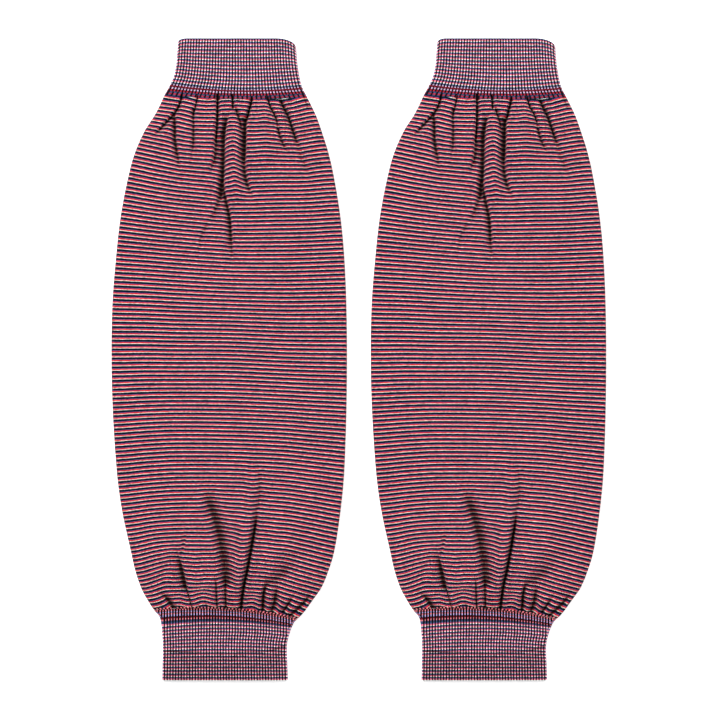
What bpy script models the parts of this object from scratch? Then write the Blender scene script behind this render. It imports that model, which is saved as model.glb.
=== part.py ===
# A pair of gathered knit sleeves, laid flat side by side on a surface.
# Each sleeve is three knitted tubes: a ribbed upper cuff, a wide striped body
# gathered at both ends, and a ribbed lower cuff.
# Metres, +Z up. The surface is z = 0, and the sleeves' upper ends point to +Y.

import math

import bpy
import numpy as np

# Driving sizes
MM = 0.001
SLEEVE_LENGTH = 481.4 * MM
SLEEVE_PITCH = 194.5 * MM  # from one sleeve's axis to the other's
UPPER_SEAM = 37.5 * MM  # below the upper end, where the upper cuff meets the body
LOWER_SEAM = 429.0 * MM
SEAM_GAP = 0.3 * MM

# Cloth
WALL = 1.5 * MM  # one knitted layer
LAID_THICKNESS = 3.6 * MM  # two layers and the little air between them
FOLD_RADIUS = LAID_THICKNESS / 2  # of the round fold at each side
SIDE_STEPS = 2  # points on each quarter of a side fold
SWELL_EDGE = 2.6  # how late the swell of the front falls off towards the sides
FOLD_SIDE_EASE = 1.5  # the folds fade out where the swell is less than one part in this many
FOLD_FADE = 0.8  # below 1, a fold keeps its depth for longer before it dies out
SHARP_EDGE = math.radians(50)

# Ribs of the cuffs
UPPER_RIBS = 41  # across a cuff's front
LOWER_RIBS = 43
RIB_HEIGHT = 0.7 * MM

# Points across one ring
BODY_FRONT = 50
TUBE_BACK = 8
CUFF_INNER_FRONT = 20
BODY_ROWS = 23
UPPER_CUFF_ROWS = 5
LOWER_CUFF_ROWS = 6
BODY_ROW_CROWDING = 0.72  # near 1, the body's rings lie closer together at the gathers

# The outline of one sleeve and how far its front swells above two flat layers, in millimetres.
# from_end: distance from the upper end; left, right: from the sleeve's axis; swell: at the middle.
OUTLINE_COLUMNS = ("from_end", "left", "right", "swell")
OUTLINE = (
    (0.0, 38.2, 49.6, 0.5),
    (12.0, 39.2, 50.5, 0.7),
    (20.0, 39.9, 51.2, 0.9),
    (28.0, 41.5, 52.5, 1.0),
    (33.0, 43.6, 53.6, 1.0),
    (37.5, 45.8, 55.0, 1.2),
    (42.8, 48.8, 57.8, 2.4),
    (50.3, 52.2, 61.6, 3.8),
    (57.8, 56.2, 65.2, 4.7),
    (69.0, 63.4, 69.2, 5.2),
    (84.0, 70.2, 74.0, 5.0),
    (99.0, 74.7, 77.6, 4.4),
    (129.0, 80.8, 82.8, 3.2),
    (159.0, 84.5, 86.0, 2.2),
    (204.0, 87.9, 88.0, 1.6),
    (264.0, 88.0, 88.2, 1.6),
    (324.0, 84.5, 86.4, 2.2),
    (354.0, 80.5, 83.6, 3.2),
    (384.0, 74.0, 79.0, 4.6),
    (399.0, 70.6, 74.6, 5.0),
    (412.0, 66.2, 69.2, 4.8),
    (421.5, 61.2, 62.6, 3.6),
    (429.0, 56.4, 57.2, 1.5),
    (433.5, 52.6, 53.4, 1.1),
    (438.0, 51.2, 48.8, 1.0),
    (446.0, 50.4, 45.4, 0.9),
    (455.0, 49.9, 43.3, 0.7),
    (470.0, 50.1, 43.6, 0.6),
    (481.4, 50.3, 44.0, 0.4),
)

# Folds of the front, from the gathered ends into the body, as soft troughs, in millimetres.
# x0, s0: where a fold starts; x1, s1: a point that it passes; x2, s2: where it dies out.
# x is measured from the sleeve's axis and s from its upper end. depth and half_width are the trough's.
FOLD_COLUMNS = ("x0", "s0", "x1", "s1", "x2", "s2", "depth", "half_width")
FOLDS = (
    # from the upper cuff
    (-35.0, 40.0, -41.0, 60.0, -37.0, 104.0, 3.4, 3.4),
    (-41.0, 58.0, -49.5, 67.0, -62.5, 79.0, 2.4, 3.4),
    (-23.5, 41.0, -26.5, 58.0, -27.5, 95.0, 2.6, 3.2),
    (-8.0, 40.0, -8.0, 62.0, -14.0, 104.0, 3.4, 3.2),
    (1.5, 40.0, -4.0, 78.0, -7.0, 124.0, 5.2, 3.8),
    (5.0, 50.0, 7.0, 58.0, 10.0, 72.0, 3.0, 3.2),
    (16.0, 40.0, 11.0, 80.0, 18.0, 126.0, 5.0, 3.8),
    (-4.5, 110.0, 0.5, 140.0, 3.6, 176.0, 3.6, 3.6),
    (-8.0, 118.0, -14.0, 134.0, -22.0, 164.0, 2.2, 3.8),
    (28.5, 40.0, 36.0, 64.0, 44.0, 90.0, 3.4, 3.4),
    (37.0, 41.0, 46.5, 66.0, 61.0, 112.0, 3.6, 3.6),
    (55.0, 41.0, 58.5, 50.0, 62.5, 60.0, 1.8, 3.2),
    # from the lower cuff
    (-41.0, 430.0, -46.0, 421.0, -54.0, 414.0, 3.2, 3.4),
    (-28.0, 428.0, -34.0, 403.0, -42.0, 380.0, 3.6, 3.4),
    (-14.0, 428.0, -15.5, 421.0, -17.0, 414.0, 1.8, 3.2),
    (-2.5, 428.0, -5.0, 390.0, -19.5, 333.0, 4.2, 4.4),
    (8.6, 428.0, 15.0, 386.0, 21.5, 350.0, 5.0, 3.6),
    (24.0, 428.0, 25.0, 416.0, 28.5, 405.0, 3.0, 3.2),
    (30.0, 430.0, 33.5, 416.0, 38.0, 405.0, 2.4, 3.2),
    (37.0, 431.0, 41.5, 425.0, 46.5, 418.0, 2.0, 3.2),
    (43.0, 433.0, 54.0, 423.0, 64.5, 412.0, 2.4, 3.2),
)

# How far each seam lies below its straight line, at the left, in the middle and at the right
UPPER_SEAM_SAG = {"left": -3.0 * MM, "middle": 1.2 * MM, "right": -0.4 * MM}
LOWER_SEAM_SAG = {"left": -0.2 * MM, "middle": -1.2 * MM, "right": 6.4 * MM}
SAG_REACH = UPPER_SEAM  # the sag fades out over this length of cloth, so that the open ends are straight

# Width and drop of the rounded corners at the upper end
LEFT_CORNER = {"width": 6.5 * MM, "drop": 3.0 * MM}
RIGHT_CORNER = {"width": 15.0 * MM, "drop": 7.0 * MM}

BODY_MIX = (0.215, 0.094, 0.125, 1)
CUFF_MIX = (0.235, 0.130, 0.170, 1)
KNIT_ROUGHNESS = 0.9


def named(columns, rows):
    """The rows of a table as one dictionary each, in metres."""
    return [{column: value * MM for column, value in zip(columns, row)} for row in rows]


def smooth_read(table, column, at):
    """Reads one column of the outline at a distance, with a smooth curve through its rows."""
    keys = [row["from_end"] for row in table]
    values = [row[column] for row in table]
    i = int(np.clip(np.searchsorted(keys, at) - 1, 0, len(keys) - 2))
    span = keys[i + 1] - keys[i]
    t = (at - keys[i]) / span

    def slope(k):
        if k in (0, len(keys) - 1):
            return (values[i + 1] - values[i]) / span
        return (values[k + 1] - values[k - 1]) / (keys[k + 1] - keys[k - 1])

    return (
        (2 * t**3 - 3 * t**2 + 1) * values[i]
        + (t**3 - 2 * t**2 + t) * span * slope(i)
        + (3 * t**2 - 2 * t**3) * values[i + 1]
        + (t**3 - t**2) * span * slope(i + 1)
    )


OUTLINE_ROWS = named(OUTLINE_COLUMNS, OUTLINE)


def fold_path(fold, count=12):
    """Points down the middle line of a fold, and how far along it each one is, from 0 to 1."""
    start = np.array([fold["x0"], fold["s0"]])
    middle = np.array([fold["x1"], fold["s1"]])
    end = np.array([fold["x2"], fold["s2"]])
    first = np.linalg.norm(middle - start)
    bend = first / (first + np.linalg.norm(end - middle))
    along = np.linspace(0, 1, count)[:, None]
    # the quadratic curve through the three points
    points = (
        start * (along - bend) * (along - 1) / bend
        + middle * along * (along - 1) / (bend * (bend - 1))
        + end * along * (along - bend) / (1 - bend)
    )
    return np.hstack([points, along])


FOLD_PATHS = [(fold_path(fold), fold["depth"], fold["half_width"]) for fold in named(FOLD_COLUMNS, FOLDS)]


def fold_depth(x, down):
    """How deep the folds press the front in at one place."""
    depth = 0.0
    for path, deepest, half_width in FOLD_PATHS:
        starts = path[:-1]
        run = path[1:, :2] - starts[:, :2]
        away = np.array([x, down]) - starts[:, :2]
        share = np.clip((away * run).sum(axis=1) / (run**2).sum(axis=1), 0, 1)
        off = np.hypot(*(away - share[:, None] * run).T)
        nearest = int(off.argmin())
        along = starts[nearest, 2] + share[nearest] * (path[1, 2] - path[0, 2])
        lasting = math.cos(along * math.pi / 2) ** FOLD_FADE
        depth += deepest * lasting * math.exp(-((off[nearest] / half_width) ** 2))
    return depth


def sag_of(across, sag):
    """The drop of a seam at a share across the sleeve, on a curve through its three values."""
    level = sag["left"] + (sag["right"] - sag["left"]) * across
    return level + (sag["middle"] - (sag["left"] + sag["right"]) / 2) * 4 * across * (1 - across)


def row_drop(across, s):
    """How far a knitted row has slid down the sleeve at a share across it."""
    drop = 0.0
    for seam, sag in ((UPPER_SEAM, UPPER_SEAM_SAG), (LOWER_SEAM, LOWER_SEAM_SAG)):
        near = max(0.0, 1 - abs(s - seam) / SAG_REACH)
        drop += sag_of(across, sag) * near**2 * (3 - 2 * near)
    end_width = OUTLINE_ROWS[0]["left"] + OUTLINE_ROWS[0]["right"]
    edge = max(0.0, 1 - s / UPPER_SEAM)
    for inward, corner in ((across, LEFT_CORNER), (1 - across, RIGHT_CORNER)):
        part = min(1.0, inward * end_width / corner["width"])
        drop += corner["drop"] * (1 - math.sqrt(1 - (1 - part) ** 2)) * edge**2
    return drop


def sides_of(s):
    """The x of a knitted row's two side folds, each read where that side has slid to."""
    left = -smooth_read(OUTLINE_ROWS, "left", s + row_drop(0.0, s))
    right = smooth_read(OUTLINE_ROWS, "right", s + row_drop(1.0, s))
    return left, right


def front_height(across, x, down):
    """The height of the cloth's upper face over the surface that it lies on."""
    dome = 1 - abs(2 * across - 1) ** SWELL_EDGE
    relief = smooth_read(OUTLINE_ROWS, "swell", down) * dome
    if UPPER_SEAM < down < LOWER_SEAM + LOWER_SEAM_SAG["right"]:
        relief -= fold_depth(x, down) * min(1.0, dome * FOLD_SIDE_EASE)
    # the front never sinks into the back
    return LAID_THICKNESS + max(relief, 0.0)


def rib_lift(across, ribs):
    """Height of the ribs over the plain face: up on the middle of a rib and down between two."""
    return RIB_HEIGHT * (0.5 - 0.5 * math.cos(2 * math.pi * across * ribs))


def ring(s, front, back, ribs, inset):
    """One closed ring of points round the tube: over the front, then back along the underside.

    ribs is their number across the front, 0 on plain knit.
    inset is 0 for the outer face, and the wall's thickness for the inner one.
    """
    left, right = sides_of(s)
    radius = FOLD_RADIUS - inset
    points = []

    def share(x):
        return min(max((x - left) / (right - left), 0.0), 1.0)

    def height(x):
        return front_height(share(x), x, s + row_drop(share(x), s)) - inset

    def add(x, z):
        points.append((x, s + row_drop(share(x), s), z))

    def add_side(x, inward, turn):
        add(x + inward * (inset + radius * (1 - math.cos(turn))), FOLD_RADIUS + radius * math.sin(turn))

    turns = [math.pi / 2 * step / SIDE_STEPS for step in range(SIDE_STEPS)]
    # up the left side fold, over the front and down the right one
    for turn in turns:
        add_side(left, 1, turn)
    start, end = left + FOLD_RADIUS, right - FOLD_RADIUS
    step_across = (end - start) / front
    for i in range(front + 1):
        x = start + step_across * i
        if inset:
            # below the lowest of the outer points beside it, so that the wall is never thin
            z = min(height(x - step_across / 2), height(x), height(x + step_across / 2))
        else:
            z = height(x) + rib_lift(i / front, ribs)
        add(x, z)
    for turn in reversed(turns):
        add_side(right, -1, turn)
    # under the right side fold, along the underside and up the left one
    for turn in turns[1:]:
        add_side(right, -1, -turn)
    for i in range(back + 1):
        add(end + (start - end) * i / back, inset)
    for turn in reversed(turns[1:]):
        add_side(left, 1, -turn)
    return points


def skin_faces(first, count, rows, outward):
    """Quads between rings of equal count that follow each other in the point list."""
    faces = []
    for row in range(rows - 1):
        for i in range(count):
            a = first + row * count + i
            b = first + row * count + (i + 1) % count
            quad = (a, a + count, b + count, b)
            faces.append(quad if outward else quad[::-1])
    return faces


def rim_faces(points, outer, inner, outward):
    """Triangles between an outer and an inner ring with unlike counts, by walking round both."""
    middle = np.mean([points[i] for i in outer], axis=0)

    def turns(indices):
        spans = np.array([points[i] for i in indices]) - middle
        steps = np.hypot(*(np.diff(np.vstack([spans, spans[:1]]), axis=0)[:, [0, 2]]).T)
        return np.concatenate([[0], np.cumsum(steps) / steps.sum()])

    outer_at, inner_at = turns(outer), turns(inner)
    faces = []
    i = j = 0
    while i < len(outer) or j < len(inner):
        take_outer = j == len(inner) or (i < len(outer) and outer_at[i + 1] <= inner_at[j + 1])
        a, b = outer[i % len(outer)], inner[j % len(inner)]
        if take_outer:
            face = (a, b, outer[(i + 1) % len(outer)])
            i += 1
        else:
            face = (a, b, inner[(j + 1) % len(inner)])
            j += 1
        faces.append(face if outward else face[::-1])
    return faces


def tube_mesh(name, stations, ribs, front, inner_front):
    """A knitted tube: an outer and an inner skin, joined by a rim at each open end."""
    outer_rings = [ring(s, front, TUBE_BACK, ribs, 0.0) for s in stations]
    inner_rings = [ring(s, inner_front, TUBE_BACK // 2, ribs, WALL) for s in stations]
    outer_count, inner_count, rows = len(outer_rings[0]), len(inner_rings[0]), len(stations)
    points = [point for one in outer_rings + inner_rings for point in one]
    inner_start = outer_count * rows
    faces = skin_faces(0, outer_count, rows, True)
    faces += skin_faces(inner_start, inner_count, rows, False)
    for row, outward in ((0, False), (rows - 1, True)):
        outer = [row * outer_count + i for i in range(outer_count)]
        inner = [inner_start + row * inner_count + i for i in range(inner_count)]
        faces += rim_faces(points, outer, inner, outward)
    # down the sleeve is -Y in the frame of the object
    placed = [(x, SLEEVE_LENGTH / 2 - s, z) for x, s, z in points]
    mesh = bpy.data.meshes.new(name)
    mesh.from_pydata(placed, [], faces)
    mesh.validate()
    mesh.shade_smooth()
    mesh.set_sharp_from_angle(angle=SHARP_EDGE)
    return mesh


def knit_material(name, color):
    material = bpy.data.materials.new(name)
    material.use_nodes = True
    shader = material.node_tree.nodes["Principled BSDF"]
    shader.inputs["Base Color"].default_value = color
    shader.inputs["Roughness"].default_value = KNIT_ROUGHNESS
    shader.inputs["Metallic"].default_value = 0.0
    material.diffuse_color = color
    return material


def spread(start, end, count, crowding=0.0):
    """Distances from start to end, closer together at both ends where crowding is near 1."""
    t = np.linspace(0, 1, count)
    eased = 0.5 - 0.5 * np.cos(np.pi * t)
    return start + (end - start) * ((1 - crowding) * t + crowding * eased)


def cuff_mesh(name, start, end, rows, ribs):
    return tube_mesh(name, spread(start, end, rows), ribs, 2 * ribs, CUFF_INNER_FRONT)


def body_mesh(name, start, end):
    rings = spread(start, end, BODY_ROWS, BODY_ROW_CROWDING)
    return tube_mesh(name, rings, 0, BODY_FRONT, BODY_FRONT // 2)


def build():
    for old in list(bpy.data.objects):
        bpy.data.objects.remove(old, do_unlink=True)
    sleeves = bpy.data.collections.new("gathered_knit_sleeves")
    bpy.context.scene.collection.children.link(sleeves)
    half_gap = SEAM_GAP / 2
    upper_end, lower_start = UPPER_SEAM - half_gap, LOWER_SEAM + half_gap
    pieces = (
        (cuff_mesh("upper_cuff", 0.0, upper_end, UPPER_CUFF_ROWS, UPPER_RIBS), CUFF_MIX),
        (body_mesh("body", UPPER_SEAM + half_gap, LOWER_SEAM - half_gap), BODY_MIX),
        (cuff_mesh("lower_cuff", lower_start, SLEEVE_LENGTH, LOWER_CUFF_ROWS, LOWER_RIBS), CUFF_MIX),
    )
    for side, place in (("left", -SLEEVE_PITCH / 2), ("right", SLEEVE_PITCH / 2)):
        for mesh, color in pieces:
            name = f"{side}_{mesh.name}"
            knit = bpy.data.objects.new(name, mesh.copy())
            knit.data.materials.append(knit_material(f"{name}_knit", color))
            knit.location = (place, 0, 0)
            sleeves.objects.link(knit)


build()
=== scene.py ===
import math

import bpy
import numpy as np
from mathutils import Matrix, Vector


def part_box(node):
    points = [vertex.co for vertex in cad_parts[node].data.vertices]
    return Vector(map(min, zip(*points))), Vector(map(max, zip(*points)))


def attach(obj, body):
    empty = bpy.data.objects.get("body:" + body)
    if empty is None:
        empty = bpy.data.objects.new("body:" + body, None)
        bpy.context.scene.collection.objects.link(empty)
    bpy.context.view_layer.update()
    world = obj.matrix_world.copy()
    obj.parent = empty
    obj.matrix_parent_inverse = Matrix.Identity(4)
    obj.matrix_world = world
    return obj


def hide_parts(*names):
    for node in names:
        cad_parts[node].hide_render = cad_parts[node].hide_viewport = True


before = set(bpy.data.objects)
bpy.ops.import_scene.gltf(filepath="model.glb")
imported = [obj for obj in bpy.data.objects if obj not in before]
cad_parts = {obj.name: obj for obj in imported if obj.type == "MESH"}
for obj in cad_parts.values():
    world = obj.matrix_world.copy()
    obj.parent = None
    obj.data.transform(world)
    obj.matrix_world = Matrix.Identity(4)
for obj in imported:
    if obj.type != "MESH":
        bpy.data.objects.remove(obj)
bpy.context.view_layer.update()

# Two gathered knit sleeves laid flat: each has a ribbed upper cuff, a striped body and a ribbed lower cuff.
# In the tables x is measured from a sleeve's axis and s down from its upper end, in millimetres.

mm = 0.001
random = np.random.default_rng(12)

sleeve = {
    "upperSeam": 37.5 * mm,
    "lowerSeam": 429.0 * mm,
    "seamGap": 0.3 * mm,
    "wall": 1.1 * mm,
    "laidThickness": 3.6 * mm,
    "foldRadius": 1.8 * mm,  # of the round fold at each side
    "frontFloor": 2.45 * mm,  # the upper layer never sinks lower than this
    "floorEase": 0.5 * mm,
    "domeEdge": 2.6,  # how late the swell falls off towards the sides
    "sideEase": 1.5,  # how soon folds and ripples reach full height, from the sides inwards
    "sideSteps": 3,
    "sharpAngle": math.radians(75),
    "innerEvery": 10,  # the inside needs only every tenth row
    "innerColumns": 2,  # and keeps under the outside this many columns to each side
    "leastHollow": 0.15 * mm,  # between the two layers
    "ripple": 0.06 * mm,
    "ripples": 14,
    "rippleLength": (9.0 * mm, 30.0 * mm),
}

outlineColumns = ("fromEnd", "left", "right", "swell")
outlineTable = (
    (0.0, 38.2, 49.6, 0.5),
    (12.0, 39.2, 50.5, 0.7),
    (20.0, 39.9, 51.2, 0.9),
    (28.0, 41.5, 52.5, 1.0),
    (33.0, 43.6, 53.6, 1.0),
    (37.5, 45.8, 55.0, 1.2),
    (42.8, 48.8, 57.8, 2.4),
    (50.3, 52.2, 61.6, 3.8),
    (57.8, 56.2, 65.2, 4.7),
    (69.0, 63.4, 69.2, 5.2),
    (84.0, 70.2, 74.0, 5.0),
    (99.0, 74.7, 77.6, 4.4),
    (129.0, 80.8, 82.8, 3.2),
    (159.0, 84.5, 86.0, 2.2),
    (204.0, 87.9, 88.0, 1.6),
    (264.0, 88.0, 88.2, 1.6),
    (324.0, 84.5, 86.4, 2.2),
    (354.0, 80.5, 83.6, 3.2),
    (384.0, 74.0, 79.0, 4.6),
    (399.0, 70.6, 74.6, 5.0),
    (412.0, 66.2, 69.2, 4.8),
    (421.5, 61.2, 62.6, 3.6),
    (429.0, 56.4, 57.2, 1.5),
    (433.5, 52.6, 53.4, 1.1),
    (438.0, 51.2, 48.8, 1.0),
    (446.0, 50.4, 45.4, 0.9),
    (455.0, 49.9, 43.3, 0.7),
    (470.0, 50.1, 43.6, 0.6),
    (481.4, 50.3, 44.0, 0.4),
)
outline = dict(zip(outlineColumns, np.array(outlineTable).T * mm))

# how far the rows at each seam lie below a straight line, and the rounded corners of the upper end
seams = {
    # seam, sag at the left, in the middle and at the right, and how far it reaches above and below the seam
    "sags": (
        ("upperSeam", -3.7, 0.5, -1.6, 37.5, 37.5),
        ("lowerSeam", -2.4, -0.6, 3.2, 37.5, 13.0),
        ("lowerSeam", 2.2, -0.6, 3.2, 37.5, 52.0),
    ),
    "leftCorner": (6.5 * mm, 3.0 * mm),  # width and drop
    "rightCorner": (15.0 * mm, 7.0 * mm),
}


def curveWeights(keys, at):
    # weights of the values at the keys for a smooth curve through them
    keys = np.asarray(keys, float)
    at = np.asarray(at, float)
    last = len(keys) - 1
    i = np.clip(np.searchsorted(keys, at, side="right") - 1, 0, last - 1)
    span = keys[i + 1] - keys[i]
    t = (at - keys[i]) / span
    weights = np.zeros((len(keys),) + at.shape)

    def add(index, amount):
        for k in range(len(keys)):
            weights[k] += np.where(index == k, amount, 0.0)

    add(i, 2 * t**3 - 3 * t**2 + 1)
    add(i + 1, 3 * t**2 - 2 * t**3)
    for point, share in ((i, t**3 - 2 * t**2 + t), (i + 1, t**3 - t**2)):
        low, high = np.clip(point - 1, 0, last), np.clip(point + 1, 0, last)
        slope = share * span / (keys[high] - keys[low])
        add(high, slope)
        add(low, -slope)
    return weights


def readCurve(keys, values, at):
    return np.tensordot(np.asarray(values, float), curveWeights(keys, at), 1)


def readOutline(column, at):
    return readCurve(outline["fromEnd"], outline[column], at)


def smoothStep(low, high, value):
    t = np.clip((value - low) / (high - low), 0.0, 1.0)
    return t * t * (3 - 2 * t)


def bell(off, width):
    return np.exp(-((off / width) ** 2))


def sagOf(across, left, middle, right):
    level = left + (right - left) * across
    return level + (middle - (left + right) / 2) * 4 * across * (1 - across)


def rowDrop(across, s):
    # how far a knitted row lies below its straight line, near the seams and at the upper end's corners
    drop = 0.0
    for seam, left, middle, right, above, below in seams["sags"]:
        off = (s - sleeve[seam]) / mm
        near = np.clip(1 - np.where(off < 0, -off / above, off / below), 0.0, 1.0)
        drop = drop + sagOf(across, left, middle, right) * mm * near**2 * (3 - 2 * near)
    endWidth = outline["left"][0] + outline["right"][0]
    edge = np.clip(1 - s / sleeve["upperSeam"], 0.0, 1.0)
    for inward, (width, fall) in ((across, seams["leftCorner"]), (1 - across, seams["rightCorner"])):
        part = np.clip(inward * endWidth / width, 0.0, 1.0)
        drop = drop + fall * (1 - np.sqrt(1 - (1 - part) ** 2)) * edge**2
    return drop


def sidesOf(s):
    left = -readOutline("left", s + rowDrop(0.0, s))
    right = readOutline("right", s + rowDrop(1.0, s))
    return left, right


def smoothPath(points, steps=8):
    points = np.array(points, float) * mm
    if len(points) == 2:
        return np.linspace(points[0], points[1], steps + 1)
    keys = np.concatenate([[0.0], np.cumsum(np.linalg.norm(np.diff(points, axis=0), axis=1))])
    at = np.linspace(0, keys[-1], steps * (len(points) - 1) + 1)
    return np.stack([readCurve(keys, points[:, k], at) for k in (0, 1)], axis=1)


def nearPath(path, x, down):
    # the signed distance from a path, minus on its left, and how far along it the nearest point is
    best = np.full(x.shape, np.inf)
    along = np.zeros(x.shape)
    side = np.zeros(x.shape)
    count = len(path) - 1
    for k in range(count):
        run = path[k + 1] - path[k]
        share = ((x - path[k, 0]) * run[0] + (down - path[k, 1]) * run[1]) / (run @ run)
        share = np.clip(share, 0.0, 1.0)
        offX = x - path[k, 0] - share * run[0]
        offS = down - path[k, 1] - share * run[1]
        away = np.hypot(offX, offS)
        closer = away < best
        best = np.where(closer, away, best)
        along = np.where(closer, (k + share) / count, along)
        side = np.where(closer, offX, side)
    return np.where(side < 0, -best, best), along


def rippleField(x, down):
    # faint unevenness of the cloth, the same on every run
    height = np.zeros(x.shape)
    for _ in range(sleeve["ripples"]):
        length = random.uniform(*sleeve["rippleLength"])
        turn = random.uniform(0, 2 * math.pi)
        place = x * math.cos(turn) + down * math.sin(turn)
        height += np.sin(place * 2 * math.pi / length + random.uniform(0, 2 * math.pi))
    return sleeve["ripple"] * height


def layRings(s, front, back, quarterWales, wales):
    # x, height on the side folds and wale number round the tube: up the left fold, over the front,
    # down the right fold and back underneath
    s = s[:, None]
    left, right = sidesOf(s)
    radius, steps = sleeve["foldRadius"], sleeve["sideSteps"]
    turn = (np.arange(steps) / steps * math.pi / 2)[None, :]
    ones = np.ones_like(s)
    start, end = left + radius, right - radius
    t = np.linspace(0, 1, front + 1)[None, :]
    tBack = np.linspace(0, 1, back + 1)[None, :]
    quarter = turn / (math.pi / 2) * quarterWales
    leftX, rightX = left + radius * (1 - np.cos(turn)), right - radius * (1 - np.cos(turn))
    upZ, downZ = radius * (1 + np.sin(turn)) * ones, radius * (1 - np.sin(turn)) * ones
    backStart = wales + 2 * quarterWales
    parts = [
        (leftX, upZ, (quarter - quarterWales) * ones),
        (start + (end - start) * t, np.zeros_like(ones * t), wales * t * ones),
        (rightX[:, ::-1], upZ[:, ::-1], (wales + quarterWales - quarter[:, ::-1]) * ones),
        (rightX[:, 1:], downZ[:, 1:], (wales + quarterWales + quarter[:, 1:]) * ones),
        (end + (start - end) * tBack, np.zeros_like(ones * tBack), (backStart + wales * tBack) * ones),
        (leftX[:, :0:-1], downZ[:, :0:-1], (2 * wales + 3 * quarterWales - quarter[:, :0:-1]) * ones),
    ]
    x, z, wale = (np.concatenate([part[k] for part in parts], axis=1) for k in range(3))
    across = np.clip((x - left) / (right - left), 0.0, 1.0)
    rings = {"x": x, "z": z, "wale": wale, "round": 2 * wales + 4 * quarterWales, "across": across}
    rings["front"] = slice(steps, steps + front + 1)
    rings["down"] = s + rowDrop(across, s)
    rings["s"] = s * np.ones_like(x)
    return rings


def settle(height):
    # the upper layer rests on the lower one, and never goes through it
    over = height - sleeve["frontFloor"]
    return sleeve["frontFloor"] + (over + np.sqrt(over**2 + sleeve["floorEase"] ** 2)) / 2


def lowest(heights, rowReach, columnReach):
    # the lowest height within some rows and columns of each place
    for axis, reach in ((0, rowReach), (1, columnReach)):
        count = heights.shape[axis]
        near = [np.clip(np.arange(count) + step, 0, count - 1) for step in range(-reach, reach + 1)]
        heights = np.min([np.take(heights, places, axis) for places in near], axis=0)
    return heights


def tubeObject(name, rings, course, paintedShade, centre, upperEnd, material):
    # outer skin, inner skin on every tenth row, and a rim at each open end
    x, z, down = rings["x"], rings["z"], rings["down"]
    rows, count = x.shape
    inside = sorted(set(range(0, rows - 1, sleeve["innerEvery"])) | {rows - 1})
    wall, radius, front = sleeve["wall"], sleeve["foldRadius"], rings["front"]
    left, right = x.min(axis=1, keepdims=True), x.max(axis=1, keepdims=True)
    innerX = np.clip(x, left + wall, right - wall)
    innerZ = np.where(z < radius, np.maximum(z, wall), np.minimum(z, 2 * radius - wall))
    innerFront = lowest(z[:, front], sleeve["innerEvery"], sleeve["innerColumns"]) - wall
    innerZ[:, front] = np.maximum(innerFront, wall + sleeve["leastHollow"])
    outer = np.stack([centre + x, upperEnd - down, z], axis=2).reshape(-1, 3)
    inner = np.stack([centre + innerX, upperEnd - down, innerZ], axis=2)[inside].reshape(-1, 3)
    here = np.arange(count)
    following = (here + 1) % count

    def skin(first, rowCount):
        starts = (first + np.arange(rowCount - 1) * count)[:, None]
        a, b = (starts + here).ravel(), (starts + following).ravel()
        return np.stack([a, a + count, b + count, b], axis=1)

    def skinMap(values, closing):
        nextValues = np.roll(values, -1, axis=1) + closing
        return np.stack([values[:-1], values[1:], nextValues[1:], nextValues[:-1]], axis=2).reshape(-1, 4)

    def rimMap(values, closing):
        nextValues = np.roll(values, -1) + closing
        return np.stack([values, nextValues, nextValues, values], axis=1)

    def rim(outerStart, innerStart):
        ends = [here, following, following, here]
        starts = [outerStart, outerStart, innerStart, innerStart]
        return np.stack([start + end for start, end in zip(starts, ends)], axis=1)

    firstInner = rows * count
    lastOuter, lastInner = (rows - 1) * count, firstInner + (len(inside) - 1) * count
    lowerRim = rim(lastOuter, lastInner)[:, [1, 0, 3, 2]]
    faces = np.concatenate(
        [skin(0, rows), skin(firstInner, len(inside))[:, ::-1], rim(0, firstInner), lowerRim])
    mesh = bpy.data.meshes.new(name)
    mesh.from_pydata(np.concatenate([outer, inner]).tolist(), [], faces.tolist())

    closeWale, closeRow = np.zeros(count), np.zeros(count)
    closeWale[-1] = rings["round"]

    def cornerValues(values, closing):
        return np.concatenate([
            skinMap(values, closing), skinMap(values[inside], closing)[:, ::-1],
            rimMap(values[0], closing), rimMap(values[-1], closing)[:, [1, 0, 3, 2]],
        ])

    for mapName, v in (("knit", course), ("seam", rings["s"] / mm)):
        corners = np.stack([cornerValues(rings["wale"], closeWale), cornerValues(v, closeRow)], axis=2)
        layer = mesh.uv_layers.new(name=mapName)
        layer.data.foreach_set("uv", corners.reshape(-1).astype(np.float32))
    # the painted shade of the creases, the notches and the pressed crease, kept on the points for the
    # material
    paintedShadeValues = np.concatenate([paintedShade.ravel(), paintedShade[inside].ravel()])
    depth = mesh.attributes.new("paintedShade", "FLOAT", "POINT")
    depth.data.foreach_set("value", paintedShadeValues.astype(np.float32))
    mesh.shade_smooth()
    mesh.set_sharp_from_angle(angle=sleeve["sharpAngle"])
    mesh.materials.append(material)
    piece = bpy.data.objects.new(name, mesh)
    bpy.context.scene.collection.objects.link(piece)
    return piece


def addNode(tree, kind, **settings):
    node = tree.nodes.new(kind)
    for key, value in settings.items():
        setattr(node, key, value)
    return node


def feed(tree, socket, value):
    if isinstance(value, bpy.types.NodeSocket):
        tree.links.new(value, socket)
    else:
        socket.default_value = value


def calc(tree, operation, *values):
    node = addNode(tree, "ShaderNodeMath", operation=operation)
    for socket, value in zip(node.inputs, values):
        feed(tree, socket, value)
    return node.outputs[0]


def mixColors(tree, share, first, second, blend="MIX"):
    node = addNode(tree, "ShaderNodeMix", data_type="RGBA", blend_type=blend)
    feed(tree, node.inputs[0], share)
    feed(tree, node.inputs[6], first)
    feed(tree, node.inputs[7], second)
    return node.outputs[2]


def mixShares(tree, share, first, second):
    node = addNode(tree, "ShaderNodeMix", data_type="FLOAT")
    feed(tree, node.inputs[0], share)
    feed(tree, node.inputs[2], first)
    feed(tree, node.inputs[3], second)
    return node.outputs[0]


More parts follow.
